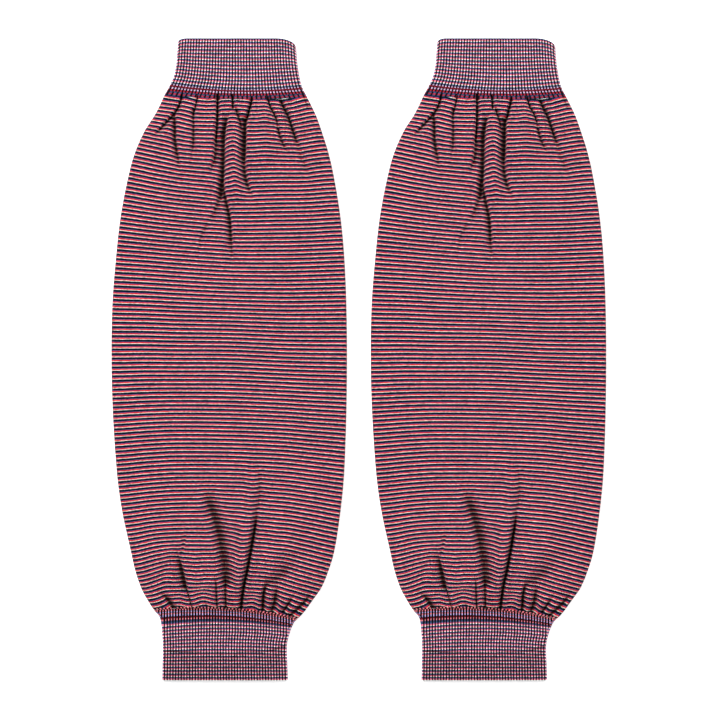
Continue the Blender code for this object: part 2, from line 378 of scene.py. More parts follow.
def softEdge(tree, value, low, high):
    node = addNode(tree, "ShaderNodeMapRange", interpolation_type="SMOOTHSTEP")
    feed(tree, node.inputs["Value"], value)
    feed(tree, node.inputs["From Min"], low)
    feed(tree, node.inputs["From Max"], high)
    return node.outputs["Result"]


def fromMiddle(tree, value):
    # 0 in the middle of each whole step of a value, and 1 at its ends
    part = calc(tree, "SUBTRACT", calc(tree, "FRACT", value), 0.5)
    return calc(tree, "MULTIPLY", calc(tree, "ABSOLUTE", part), 2.0)


def flatPlace(tree, u, v):
    place = addNode(tree, "ShaderNodeCombineXYZ")
    feed(tree, place.inputs[0], u)
    feed(tree, place.inputs[1], v)
    return place.outputs[0]


def cloudNoise(tree, u, v, detail):
    # noise about zero, most of it within half a unit
    noise = addNode(tree, "ShaderNodeTexNoise", noise_dimensions="2D")
    feed(tree, noise.inputs["Vector"], flatPlace(tree, u, v))
    feed(tree, noise.inputs["Scale"], 1.0)
    feed(tree, noise.inputs["Detail"], detail)
    return calc(tree, "SUBTRACT", noise.outputs[0], 0.5)


def stitchNoise(tree, wale, course):
    # a value about zero for each stitch, within half a unit
    noise = addNode(tree, "ShaderNodeTexWhiteNoise", noise_dimensions="2D")
    place = flatPlace(tree, calc(tree, "FLOOR", wale), calc(tree, "FLOOR", course))
    feed(tree, noise.inputs["Vector"], place)
    return calc(tree, "SUBTRACT", noise.outputs["Value"], 0.5)


def newGroup(name, inputs, outputs):
    tree = bpy.data.node_groups.new(name, "ShaderNodeTree")
    for direction, sockets in (("INPUT", inputs), ("OUTPUT", outputs)):
        for label, kind in sockets.items():
            tree.interface.new_socket(name=label, in_out=direction, socket_type=f"NodeSocket{kind}")
    return tree, addNode(tree, "NodeGroupInput").outputs, addNode(tree, "NodeGroupOutput").inputs


def placeGroup(tree, group, **values):
    node = addNode(tree, "ShaderNodeGroup")
    node.node_tree = group
    for label, value in values.items():
        feed(tree, node.inputs[label], value)
    return node.outputs


# what every knit surface here shares
yarn = {
    "slant": 0.3,  # of the two legs of a stitch, in courses
    "wobble": 0.22,
    "legRoundness": 0.7,
    "legEnds": 0.45,  # height of a leg at its ends, as a share of its middle
    "courseRoundness": 0.6,
    "gapSoftness": 0.1,
    "coursesInRepeat": 3.0,
    "specklesPerWale": 2.0,
    "streak": (0.2, 5.73),  # steps of the noise for each wale and each course
    "patch": (0.03, 0.2),
    "toneDetail": 2.0,
    "fibreDetail": 3.0,
    "fibreBump": 0.25,
    "roughness": (0.78, 0.94),  # between the fibres and on them
    "sheenRoughness": 0.5,
}


def stitchGroup():
    # one knit stitch in each wale and course: two slanted legs that meet at the bottom
    tree, given, result = newGroup(
        "stitches", {"Wale": "Float", "Course": "Float", "Width": "Float"},
        {"Height": "Float", "Row": "Float", "Gap": "Float"})
    side = fromMiddle(tree, given["Wale"])
    leg = calc(tree, "MINIMUM", calc(tree, "DIVIDE", side, given["Width"]), 1.0)
    uneven = stitchNoise(tree, given["Wale"], given["Course"])
    row = calc(tree, "MULTIPLY_ADD", calc(tree, "SUBTRACT", leg, 0.5), yarn["slant"], given["Course"])
    row = calc(tree, "MULTIPLY_ADD", uneven, yarn["wobble"], row)
    acrossLeg = calc(tree, "SINE", calc(tree, "MULTIPLY", calc(tree, "FRACT", row), math.pi))
    alongLeg = calc(tree, "SINE", calc(tree, "MULTIPLY", leg, math.pi))
    full = calc(tree, "POWER", alongLeg, yarn["legRoundness"])
    full = calc(tree, "MULTIPLY_ADD", full, 1 - yarn["legEnds"], yarn["legEnds"])
    gapStart = calc(tree, "SUBTRACT", given["Width"], yarn["gapSoftness"])
    gap = softEdge(tree, side, gapStart, calc(tree, "ADD", given["Width"], yarn["gapSoftness"]))
    height = calc(tree, "MULTIPLY", calc(tree, "POWER", acrossLeg, yarn["courseRoundness"]), full)
    feed(tree, result["Height"], calc(tree, "MULTIPLY", height, calc(tree, "SUBTRACT", 1.0, gap)))
    feed(tree, result["Row"], row)
    feed(tree, result["Gap"], gap)
    return tree


def stripeGroup():
    # the yarns of one three-course repeat, downwards: dark, blue, red and light, to the given shares of it
    tree, given, result = newGroup(
        "yarn stripes",
        {"Row": "Float", "Dark": "Color", "Blue": "Color", "Red": "Color", "Light": "Color",
         "Dark End": "Float", "Blue End": "Float", "Red End": "Float", "Light End": "Float",
         "Blend": "Float"},
        {"Color": "Color"})
    share = calc(tree, "FRACT", calc(tree, "DIVIDE", given["Row"], yarn["coursesInRepeat"]))
    order = ("Dark", "Blue", "Red", "Light", "Dark")
    color = given["Dark"]
    for before, after in zip(order, order[1:]):
        low = calc(tree, "SUBTRACT", given[f"{before} End"], given["Blend"])
        high = calc(tree, "ADD", given[f"{before} End"], given["Blend"])
        color = mixColors(tree, softEdge(tree, share, low, high), color, given[after])
    feed(tree, result["Color"], color)
    return tree


def toneGroup():
    # the yarn is lighter or darker from stitch to stitch, along each course, and in broad patches
    tree, given, result = newGroup(
        "yarn tone",
        {"Wale": "Float", "Row": "Float", "Speckle": "Float", "Streak": "Float", "Patch": "Float"},
        {"Tone": "Float"})
    speckleWale = calc(tree, "MULTIPLY", given["Wale"], yarn["specklesPerWale"])
    speckle = stitchNoise(tree, speckleWale, given["Row"])
    course = calc(tree, "FLOOR", given["Row"])
    streak, patch = (
        cloudNoise(tree, calc(tree, "MULTIPLY", given["Wale"], acrossStep),
                   calc(tree, "MULTIPLY", row, downStep), yarn["toneDetail"])
        for row, (acrossStep, downStep) in ((course, yarn["streak"]), (given["Row"], yarn["patch"])))
    tone = calc(tree, "MULTIPLY_ADD", speckle, given["Speckle"], 1.0)
    tone = calc(tree, "MULTIPLY_ADD", streak, given["Streak"], tone)
    feed(tree, result["Tone"], calc(tree, "MULTIPLY_ADD", patch, given["Patch"], tone))
    return tree


def fuzzGroup():
    # loose fibres over the yarn
    tree, given, result = newGroup("fibres", {"Size": "Float"}, {"Value": "Float"})
    place = addNode(tree, "ShaderNodeTexCoord")
    noise = addNode(tree, "ShaderNodeTexNoise")
    feed(tree, noise.inputs["Vector"], place.outputs["Object"])
    feed(tree, noise.inputs["Scale"], calc(tree, "DIVIDE", 1.0, given["Size"]))
    feed(tree, noise.inputs["Detail"], yarn["fibreDetail"])
    feed(tree, result["Value"], noise.outputs[0])
    return tree


stitches, yarnStripes, yarnTone, fibres = stitchGroup(), stripeGroup(), toneGroup(), fuzzGroup()


def mapPlace(tree, name):
    place = addNode(tree, "ShaderNodeUVMap", uv_map=name)
    split = addNode(tree, "ShaderNodeSeparateXYZ")
    feed(tree, split.inputs[0], place.outputs[0])
    return split.outputs[0], split.outputs[1]


def rowColors(tree, value, rows):
    # a colour for each row of a chart, from its own start to the next one's
    node = addNode(tree, "ShaderNodeValToRGB")
    node.color_ramp.interpolation = "CONSTANT"
    elements = node.color_ramp.elements
    while len(elements) < len(rows):
        elements.new(0.5)
    for element, (start, color) in zip(elements, rows):
        element.position = start
        element.color = color
    feed(tree, node.inputs[0], value)
    return node.outputs["Color"]


# ink is near-black: whole dark rows, and as the ground between coloured marks it is painted shade in the
# troughs between the ribs
inkAndTroughShade, navy, slate = (0.002, 0.003, 0.008, 1), (0.002, 0.006, 0.013, 1), (0.05, 0.065, 0.15, 1)
red, darkRed, coral = (0.46, 0.012, 0.02, 1), (0.15, 0.004, 0.012, 1), (0.84, 0.22, 0.26, 1)
lilac, pinkLilac = (0.46, 0.38, 0.70, 1), (0.62, 0.44, 0.64, 1)


def chartedRows(tree, color, wale, slide, chart):
    # the rows where a cuff and the body are linked, charted downwards: ground, and marks on it; an ink ground
    # between coloured marks is painted shade in the troughs between the ribs
    s = calc(tree, "ADD", mapPlace(tree, "seam")[1], slide)
    share = calc(tree, "DIVIDE", calc(tree, "SUBTRACT", s, chart["start"]), chart["length"])
    ground, marked = (
        rowColors(tree, share, [(row[0] / chart["length"], row[column]) for row in chart["rows"]])
        for column in (1, 2))
    rib = calc(tree, "MULTIPLY", wale, chart["ribPerWale"])
    marks = softEdge(tree, fromMiddle(tree, rib), *chart["markEdge"])
    if "dashesFrom" in chart:
        dash = calc(tree, "MULTIPLY", rib, chart["dashPerRib"])
        dashes = softEdge(tree, fromMiddle(tree, dash), *chart["dashEdge"])
        inDashes = calc(tree, "GREATER_THAN", share, chart["dashesFrom"] / chart["length"])
        marks = mixShares(tree, inDashes, marks, dashes)
    offMiddle = calc(tree, "ABSOLUTE", calc(tree, "SUBTRACT", share, 0.5))
    inChart = calc(tree, "LESS_THAN", offMiddle, 0.5)
    return mixColors(tree, inChart, color, mixColors(tree, marks, ground, marked))


def knitMaterial(name, look):
    material = bpy.data.materials.new(name)
    material.use_nodes = True
    tree = material.node_tree
    shader = tree.nodes["Principled BSDF"]
    shader.inputs["Specular IOR Level"].default_value = look["specular"]
    shader.inputs["Sheen Weight"].default_value = look["sheen"]
    shader.inputs["Sheen Roughness"].default_value = yarn["sheenRoughness"]
    wale, course = mapPlace(tree, "knit")
    stitch = placeGroup(tree, stitches, Wale=wale, Course=course, Width=look["waleWidth"])
    darkEnd, blueEnd, redEnd, lightEnd = look["borders"]
    color = placeGroup(tree, yarnStripes, **{
        "Row": stitch["Row"], "Dark": look["dark"], "Blue": look["blue"], "Red": look["red"],
        "Light": look["light"], "Dark End": darkEnd, "Blue End": blueEnd, "Red End": redEnd,
        "Light End": lightEnd, "Blend": look["blend"]})["Color"]
    slide = calc(tree, "SUBTRACT", stitch["Row"], course)
    for chart in look["charts"]:
        color = chartedRows(tree, color, wale, slide, chart)
    tone = placeGroup(tree, yarnTone, Wale=wale, Row=stitch["Row"], Speckle=look["speckle"],
                      Streak=look["streak"], Patch=look["patch"])["Tone"]
    fuzz = placeGroup(tree, fibres, Size=look["fibre"])["Value"]

    # painted shade: between the stitches and ribs and in the creases the colour is made darker and deeper
    paintedShade = addNode(tree, "ShaderNodeAttribute", attribute_name="paintedShade").outputs["Fac"]
    paintedCreaseShade = softEdge(tree, paintedShade, *look["creaseEdge"])
    paintedShadeShare = calc(tree, "MAXIMUM", stitch["Gap"], calc(tree, "MULTIPLY", paintedCreaseShade, look["creaseShade"]))
    color = mixColors(tree, paintedShadeShare, color, mixColors(tree, 1.0, color, color, "MULTIPLY"))
    # painted shade: darker where the stitch is low and at the edges of each course, then in the gaps and
    # creases; the tone and fibres are the yarn's own
    light = calc(tree, "MULTIPLY_ADD", stitch["Height"], look["stitchShade"], 1 - look["stitchShade"])
    for shade, amount in ((stitch["Gap"], look["gapShade"]), (paintedCreaseShade, look["creaseShade"])):
        light = calc(tree, "MULTIPLY", light, calc(tree, "MULTIPLY_ADD", shade, -amount, 1.0))
    light = calc(tree, "MULTIPLY", light, tone)
    fibreLight = calc(tree, "MULTIPLY_ADD", fuzz, look["fuzz"], 1 - look["fuzz"] / 2)
    light = calc(tree, "MULTIPLY", light, fibreLight)
    grey = addNode(tree, "ShaderNodeCombineColor")
    for channel in grey.inputs:
        feed(tree, channel, light)
    feed(tree, shader.inputs["Base Color"], mixColors(tree, 1.0, color, grey.outputs[0], "MULTIPLY"))
    smooth, rough = yarn["roughness"]
    feed(tree, shader.inputs["Roughness"], calc(tree, "MULTIPLY_ADD", fuzz, rough - smooth, smooth))
    bump = addNode(tree, "ShaderNodeBump")
    bump.inputs["Strength"].default_value = look["bump"]
    bump.inputs["Distance"].default_value = look["bumpHeight"]
    feed(tree, bump.inputs["Height"],
         calc(tree, "MULTIPLY_ADD", fuzz, yarn["fibreBump"], stitch["Height"]))
    feed(tree, shader.inputs["Normal"], bump.outputs[0])
    return material


# the body

bodyLook = {
    "dark": navy, "blue": (0.022, 0.062, 0.195, 1), "red": (0.64, 0.013, 0.015, 1),
    "light": (0.89, 0.94, 0.85, 1), "borders": (0.43, 0.57, 0.867, 0.965), "blend": 0.02,
    # gapShade, stitchShade and creaseShade are painted shade: between the wales, at the edges of each course
    # and in the creases
    "waleWidth": 0.95, "gapShade": 0.25, "stitchShade": 0.3,
    "speckle": 0.8, "streak": 0.2, "patch": 0.15, "fibre": 0.35 * mm, "fuzz": 0.3,
    "creaseEdge": (0.1, 0.95), "creaseShade": 0.88,
    "specular": 0.06, "sheen": 0.03, "bump": 0.5, "bumpHeight": 0.3 * mm,
    "charts": ({
        "start": 37.0, "length": 8.5, "ribPerWale": 41 / 150, "markEdge": (0.6, 0.34),
        "dashesFrom": 5.8, "dashPerRib": 0.71, "dashEdge": (0.7, 0.44),
        "rows": (
            (0.0, inkAndTroughShade, pinkLilac),
            (1.5, darkRed, darkRed),
            (2.4, inkAndTroughShade, darkRed),
            (2.9, inkAndTroughShade, pinkLilac),
            (4.0, inkAndTroughShade, darkRed),
            (4.6, inkAndTroughShade, red),
            (5.5, inkAndTroughShade, slate),
            (6.9, inkAndTroughShade, red),
            (7.7, inkAndTroughShade, slate),
        ),
    }, {
        # the last course is drawn into teeth between the ribs, with painted shade on the ink between them
        "start": 427.9, "length": 3.0, "ribPerWale": 41 / 150, "markEdge": (0.6, 0.34),
        "rows": ((0.0, inkAndTroughShade, coral),),
    }),
}

body = {
    "columns": 350,
    "backColumns": 44,
    "rows": 198,
    "rowCrowding": 0.55,
    "walesAcross": 150,
    "sideWales": 2.5,  # on each quarter of a side fold
    "courseHeight": 1.0615 * mm,
    "stripeStart": 183.3 * mm,  # the middle of a navy course, on the sleeve's axis
    "stripeLead": 180.65,  # courses from the first dark one to that one
    "ribs": 41,
    "upperRibFade": 5.5 * mm,
    "lowerRibFade": 2.75 * mm,
    # notchDepth: how far up from the lower seam the painted shade in the notches between the ribs reaches
    "notchDepth": 2.4 * mm,  # of the dark notches between the ribs at the lower seam
    "ribHeight": 0.5 * mm,
    "flat": (0.354, 0.393),
}

# Creases of the front from the gathered ends into the body. path: points from the seam outwards.
# left and right: how far each side of the crease reaches, small where it is a steep fold.
# fadeIn and fadeOut: the shares of its length in which it grows and dies out.
# pull: how far the stripes slide in it, away from the cuff.
creaseColumns = ("path", "depth", "left", "right", "fadeIn", "fadeOut", "pull")
upperCreases = (
    (((-35.4, 41.0), (-36.6, 47.0), (-38.6, 52.5), (-41.2, 56.5), (-44.6, 60.0)),
     4.4, 0.6, 1.3, 0.1, 0.05, 0.4),
    (((-43.0, 58.6), (-48.8, 64.8), (-55.4, 72.0), (-60.5, 76.0)), 4.2, 0.5, 1.4, 0.05, 0.6, 1.0),
    (((-41.0, 57.5), (-40.2, 66.0), (-40.1, 76.0), (-39.0, 84.0), (-37.6, 92.0), (-36.6, 106.0)),
     3.8, 2.0, 0.6, 0.0, 0.5, 0.7),
    (((-39.0, 104.0), (-36.0, 112.0)), 1.0, 3.0, 3.0, 0.4, 0.4, 0.0),
    (((-23.2, 42.0), (-24.4, 48.0), (-26.8, 59.0)), 3.6, 0.5, 0.6, 0.1, 0.2, 0.3),
    (((-26.8, 52.0), (-26.6, 68.0), (-26.6, 78.0), (-27.2, 88.0), (-27.2, 97.0)),
     3.0, 1.0, 1.0, 0.05, 0.5, 0.3),
    (((-14.8, 44.0), (-16.5, 50.0), (-20.5, 58.0)), 0.9, 1.0, 1.2, 0.2, 0.8, 0.2),
    (((-9.2, 40.6), (-9.1, 55.0), (-9.5, 68.0), (-10.8, 82.0)), 4.6, 0.4, 1.7, 0.05, 0.2, 0.8),
    (((-9.8, 74.0), (-10.2, 82.0), (-11.0, 90.0), (-13.0, 97.0), (-15.6, 105.0)),
     2.8, 0.5, 4.4, 0.1, 0.5, 1.0),
    (((1.8, 41.6), (2.5, 47.0), (2.8, 55.0)), 4.4, 0.5, 1.2, 0.1, 0.2, 0.4),
    (((1.0, 53.0), (-1.6, 62.0), (-3.2, 72.0), (-3.6, 84.0), (-3.8, 96.0), (-4.2, 106.0), (-5.2, 115.0),
      (-6.4, 125.0)), 4.4, 3.2, 0.7, 0.2, 0.1, 1.3),
    (((-4.6, 106.0), (-3.4, 115.0), (-1.4, 124.0), (0.3, 132.0), (1.4, 141.0), (1.9, 155.0), (2.8, 166.0),
      (4.2, 177.0)), 3.8, 2.6, 0.6, 0.05, 0.5, 0.8),
    (((-7.0, 117.0), (-9.6, 126.0), (-13.6, 135.0), (-18.2, 143.5)), 2.2, 0.4, 5.0, 0.1, 0.6, 0.6),
    (((-14.5, 137.0), (-18.2, 143.0), (-21.6, 151.0), (-22.8, 167.0)), 1.7, 0.4, 2.2, 0.2, 0.6, 0.4),
    (((4.2, 51.0), (6.0, 56.0), (8.2, 63.0), (9.8, 71.0)), 3.6, 0.8, 1.2, 0.2, 0.3, 0.3),
    (((17.4, 43.5), (16.6, 48.5), (14.8, 55.0), (13.4, 62.0)), 4.6, 1.0, 1.0, 0.1, 0.1, 0.5),
    (((13.6, 58.0), (12.8, 66.0), (12.6, 78.0), (12.2, 88.0), (11.5, 98.0)), 5.4, 3.6, 0.4, 0.1, 0.2, 1.3),
    (((11.8, 90.0), (11.8, 99.0), (12.8, 106.0), (15.8, 115.0), (19.4, 125.0)), 3.4, 2.2, 1.0, 0.2, 0.5, 1.0),
    (((17.5, 123.0), (21.0, 128.5), (27.0, 131.5)), 1.2, 2.6, 2.6, 0.3, 0.5, 0.0),
    (((20.5, 43.0), (23.5, 49.0)), 1.2, 1.0, 1.2, 0.2, 0.8, 0.2),
    (((28.6, 43.0), (30.6, 51.0), (34.2, 58.0), (36.2, 64.0), (36.6, 70.0)), 4.4, 0.6, 0.9, 0.05, 0.4, 0.6),
    (((36.4, 66.0), (38.8, 75.0), (41.6, 81.5), (44.2, 89.5)), 3.2, 1.1, 0.7, 0.1, 0.5, 0.6),
    (((37.6, 44.0), (41.4, 53.0), (44.4, 59.0), (46.8, 66.0), (49.0, 73.0), (51.6, 80.0), (53.8, 89.0)),
     4.8, 1.1, 1.1, 0.1, 0.4, 0.8),
    (((51.5, 81.0), (55.0, 92.0), (58.5, 101.0), (61.2, 114.0)), 1.6, 1.7, 2.2, 0.15, 0.6, 0.4),
    (((46.4, 45.0), (47.8, 52.0)), 1.4, 1.2, 1.2, 0.3, 0.6, 0.0),
    (((55.0, 42.0), (57.0, 47.0), (59.4, 53.0), (62.2, 60.0)), 2.4, 0.6, 0.7, 0.2, 0.6, 0.0),
    (((59.6, 66.8), (62.2, 71.0)), 1.1, 0.4, 0.4, 0.2, 0.6, 0.0),
    (((-44.6, 40.0), (-45.8, 50.0)), 1.4, 1.0, 1.2, 0.2, 0.7, 0.0),
)
lowerCreases = (
    (((-40.2, 429.6), (-43.5, 424.2), (-47.0, 419.6), (-53.0, 414.6)), 4.6, 1.5, 1.7, 0.0, 0.5, 0.8),
    (((-62.0, 410.0), (-52.0, 401.0), (-43.0, 391.0)), 1.1, 0.5, 4.5, 0.3, 0.3, 0.0),
    (((-27.2, 429.0), (-29.4, 421.0), (-32.0, 411.0)), 3.4, 0.4, 0.4, 0.0, 0.1, 0.5),
    (((-31.6, 415.0), (-33.4, 405.0), (-35.2, 397.0), (-37.6, 389.0), (-41.6, 379.0)),
     4.2, 3.2, 0.8, 0.1, 0.6, 0.8),
    (((-35.4, 388.0), (-33.8, 380.0), (-31.6, 367.0)), 1.4, 1.3, 0.4, 0.2, 0.5, 0.8),
    (((-36.6, 429.2), (-35.8, 424.0)), 1.2, 0.6, 0.6, 0.0, 0.8, -0.4),
    (((-22.8, 428.7), (-23.6, 422.0)), 1.4, 0.6, 0.6, 0.0, 0.8, -0.4),
    (((-16.8, 428.5), (-17.4, 420.0)), 1.4, 0.7, 0.7, 0.0, 0.8, 0.0),
    (((-8.9, 428.3), (-9.4, 419.0), (-9.8, 409.0), (-10.4, 399.0)), 3.0, 0.5, 0.8, 0.0, 0.5, -0.3),
    (((-2.4, 428.3), (-2.6, 416.0), (-2.9, 400.0)), 3.2, 1.1, 1.1, 0.0, 0.3, 0.4),
    (((-2.2, 416.0), (-3.2, 397.0), (-5.0, 385.0), (-7.4, 371.0), (-11.2, 358.0), (-15.4, 346.0),
      (-21.0, 328.0)), 3.2, 2.8, 5.4, 0.1, 0.3, 1.4),
    (((3.2, 428.2), (3.4, 423.0)), 1.0, 0.6, 0.6, 0.0, 0.8, -0.4),
    (((9.0, 428.3), (9.8, 420.0), (11.4, 409.0), (13.6, 399.0), (16.0, 386.0), (18.5, 372.0), (20.4, 360.0),
      (21.8, 346.0)), 5.8, 1.5, 1.4, 0.0, 0.3, 0.6),
    (((20.6, 358.0), (22.6, 345.0), (22.8, 330.0), (21.8, 314.0)), 1.5, 0.5, 3.0, 0.2, 0.5, 0.4),
    (((15.6, 428.4), (16.2, 424.5)), 0.9, 0.6, 0.6, 0.0, 0.8, -0.3),
    (((24.8, 428.8), (25.2, 420.0), (26.2, 413.0), (29.0, 405.0)), 4.6, 0.8, 2.0, 0.0, 0.4, 0.6),
    (((26.5, 411.0), (36.0, 405.0), (45.0, 397.0), (52.0, 389.0)), 2.0, 4.5, 4.5, 0.1, 0.5, 0.0),
    (((31.4, 430.0), (33.8, 423.0), (35.2, 414.5), (38.4, 405.0)), 3.6, 1.3, 2.4, 0.0, 0.6, 0.4),
    (((39.4, 431.6), (44.4, 424.0), (50.0, 416.0)), 3.8, 1.0, 1.1, 0.0, 0.6, 0.4),
    (((44.6, 433.8), (52.0, 427.0), (58.0, 420.4), (64.6, 411.0)), 4.6, 1.1, 1.5, 0.0, 0.5, 0.4),
)

# Broad soft waves of the front, up where the height is positive; shift: how far down the stripes arch on them
waveColumns = ("path", "height", "width", "shift")
softWaves = (
    (((4.0, 58.0), (3.5, 75.0), (3.5, 95.0), (5.0, 112.0), (7.0, 128.0)), 1.6, 4.0, -1.6),
    (((26.0, 48.0), (28.0, 62.0), (28.0, 78.0), (24.0, 100.0)), 1.8, 7.0, -0.6),
    (((25.0, 43.0), (26.5, 52.0), (27.5, 66.0)), 1.2, 4.0, -0.8),
    (((-42.0, 122.0), (-28.0, 126.0), (-14.0, 122.0)), -0.7, 3.0, 0.0),
    (((-30.0, 95.0), (-23.0, 98.0), (-17.0, 95.0)), -0.7, 3.0, 0.0),
    (((-13.0, 50.0), (-13.5, 70.0), (-16.0, 88.0), (-21.0, 104.0)), 1.2, 4.0, 0.0),
    (((-33.0, 50.0), (-33.5, 65.0), (-32.0, 85.0), (-29.0, 110.0)), 1.2, 4.0, 0.0),
    (((-42.0, 46.0), (-48.0, 58.0), (-58.0, 69.0)), 1.2, 4.0, 0.0),
    (((52.0, 52.0), (54.0, 64.0), (58.0, 80.0), (62.0, 100.0)), 1.2, 5.0, 0.0),
    (((35.0, 48.0), (40.0, 60.0), (42.5, 72.0), (47.0, 86.0)), 1.0, 2.6, 0.0),
    (((4.0, 189.0), (34.0, 230.0), (64.0, 275.0)), -0.9, 6.0, 0.0),
    (((-30.0, 110.0), (-34.0, 150.0), (-36.0, 205.0)), -0.8, 6.0, 0.0),
    (((-52.0, 120.0), (-58.0, 170.0), (-57.0, 230.0)), -0.7, 7.0, 0.0),
    (((62.0, 118.0), (66.0, 140.0), (50.0, 160.0)), -0.9, 5.0, 0.0),
    (((-7.5, 424.0), (-10.0, 405.0), (-13.0, 385.0), (-17.5, 362.0), (-22.0, 340.0), (-25.0, 318.0)),
     3.2, 5.5, 0.0),
    (((6.0, 424.0), (8.4, 405.0), (11.4, 385.0), (14.8, 362.0), (17.0, 335.0), (17.0, 300.0)), 2.6, 4.5, 0.6),
    (((29.0, 412.0), (33.0, 395.0), (36.0, 378.0), (38.0, 352.0)), 1.8, 6.5, 0.3),
    (((33.0, 424.0), (40.0, 410.0), (50.0, 395.0), (55.0, 380.0), (56.0, 362.0)), -1.4, 6.0, 0.0),
    (((45.0, 424.0), (55.0, 412.0), (65.0, 396.0), (69.0, 375.0)), 1.3, 5.0, 0.0),
    (((-22.0, 416.0), (-24.0, 402.0), (-26.0, 378.0)), 1.1, 5.0, 0.6),
    (((-36.0, 437.0), (-36.5, 428.0), (-37.5, 412.0)), 0.3, 4.0, -0.9),
    (((-18.5, 440.0), (-19.0, 428.0), (-20.0, 408.0)), 0.6, 6.0, -2.2),
    (((-5.6, 438.0), (-5.8, 428.0), (-6.0, 412.0)), 0.3, 2.4, -1.0),
    (((15.5, 438.0), (16.5, 428.0), (18.5, 414.0)), 0.5, 5.5, -1.9),
    (((33.0, 440.0), (34.0, 430.0), (38.0, 416.0)), 0.3, 3.0, -0.9),
    (((4.0, 424.0), (6.5, 400.0), (8.5, 380.0), (10.5, 352.0)), 0.6, 4.0, 0.9),
    (((-52.0, 416.0), (-45.0, 396.0), (-43.0, 376.0)), 0.6, 5.0, -0.9),
    (((-60.0, 390.0), (-66.0, 340.0), (-62.0, 290.0)), -0.5, 6.0, 0.0),
    (((66.0, 380.0), (72.0, 340.0), (70.0, 290.0)), -0.5, 5.0, 0.0),
    (((-44.0, 311.0), (-26.0, 310.0), (-8.0, 312.0)), -0.5, 3.0, 0.0),
)

# How far the knitted courses sag below straight lines, at seven shares across the sleeve
sagShares = (0.05, 0.15, 0.27, 0.5, 0.73, 0.85, 0.95)
courseSag = (
    # s, then the sag at each share
    (50.0, -3.6, -1.9, 0.9, 0.8, 2.9, 3.1, 0.5),
    (80.0, -7.3, -4.3, -0.8, 0.6, 0.9, 1.1, -0.9),
    (114.0, -7.0, -4.2, -1.5, 1.6, 0.9, 0.6, -0.6),
    (174.0, -4.1, -3.1, -1.6, 0.8, 1.3, 0.8, 0.2),
    (234.0, -0.9, -1.0, -0.6, -0.2, 1.6, 2.1, 2.3),
    (294.0, 1.2, 0.0, -0.8, -0.3, 1.4, 3.1, 4.4),
    (354.0, 2.8, 0.7, -0.5, -0.5, 1.7, 4.5, 7.3),
    (399.0, 2.8, -1.0, -1.5, -1.0, 1.2, 5.5, 9.1),
    (420.0, 1.3, -1.8, -1.2, -1.8, 0.2, 4.0, 7.9),
)

# the shape of every crease, across it
creaseShape = {
    "roundness": 1.9,
    "lipAway": 1.9 * mm,  # the raised lip beside a crease
    "lipWidth": 1.6 * mm,
    "lipShare": 0.16,
    # darkDepth sets the depth at which a crease's painted shade is full
    "darkDepth": 4.2,  # mm, from here on a crease is as dark as it gets
    "pullReach": 1.7,  # of the stripes' slide, as a share of the crease's own reach
    "leastFade": 0.01,
    "waveFade": 0.3,  # the share of a wave's length in which each of its ends dies out
}


def creaseField(x, down):
    # depth of the creases, the painted shade in them, and the slide of the stripes
    depth = np.zeros(x.shape)
    paintedShade = np.zeros(x.shape)
    slide = np.zeros(x.shape)
    for rows, away in ((upperCreases, 1.0), (lowerCreases, -1.0)):
        for row in rows:
            crease = dict(zip(creaseColumns, row))
            off, along = nearPath(smoothPath(crease["path"]), x, down)
            wide = np.where(off < 0, crease["left"], crease["right"]) * mm
            reach = smoothStep(0.0, max(crease["fadeIn"], creaseShape["leastFade"]), along)
            reach = reach * smoothStep(0.0, crease["fadeOut"], 1 - along)
            trough = np.exp(-np.abs(off / wide) ** creaseShape["roundness"]) * reach
            lip = bell(np.abs(off) - wide - creaseShape["lipAway"], creaseShape["lipWidth"]) * reach
            depth += crease["depth"] * mm * (trough - creaseShape["lipShare"] * lip)
            # painted shade in the crease, darker the deeper it is, full from darkDepth on
            paintedShade = np.maximum(paintedShade, min(crease["depth"] / creaseShape["darkDepth"], 1.0) * trough)
            slide += away * crease["pull"] * mm * bell(off, creaseShape["pullReach"] * wide) * reach
    return depth, paintedShade, slide


def waveField(x, down):
    height = np.zeros(x.shape)
    shift = np.zeros(x.shape)
    for row in softWaves:
        wave = dict(zip(waveColumns, row))
        off, along = nearPath(smoothPath(wave["path"]), x, down)
        ends = [smoothStep(0.0, creaseShape["waveFade"], part) for part in (along, 1 - along)]
        crest = bell(off, wave["width"] * mm) * (ends[0] * ends[1])
        height += wave["height"] * mm * crest
        shift += wave["shift"] * mm * crest
    return height, shift


def courseSagAt(across, down):
    keys = np.array([row[0] for row in courseSag]) * mm
    values = np.array([row[1:] for row in courseSag]) * mm
    alongWeights = curveWeights(keys, np.clip(down, keys[0], keys[-1]))
    acrossWeights = curveWeights(sagShares, across)
    return np.einsum("irc,jrc,ij->rc", alongWeights, acrossWeights, values)


def spread(start, end, count, crowding):
    # places from start to end, closer together near both
    t = np.linspace(0, 1, count)
    return start + (end - start) * ((1 - crowding) * t + crowding * (0.5 - 0.5 * np.cos(np.pi * t)))


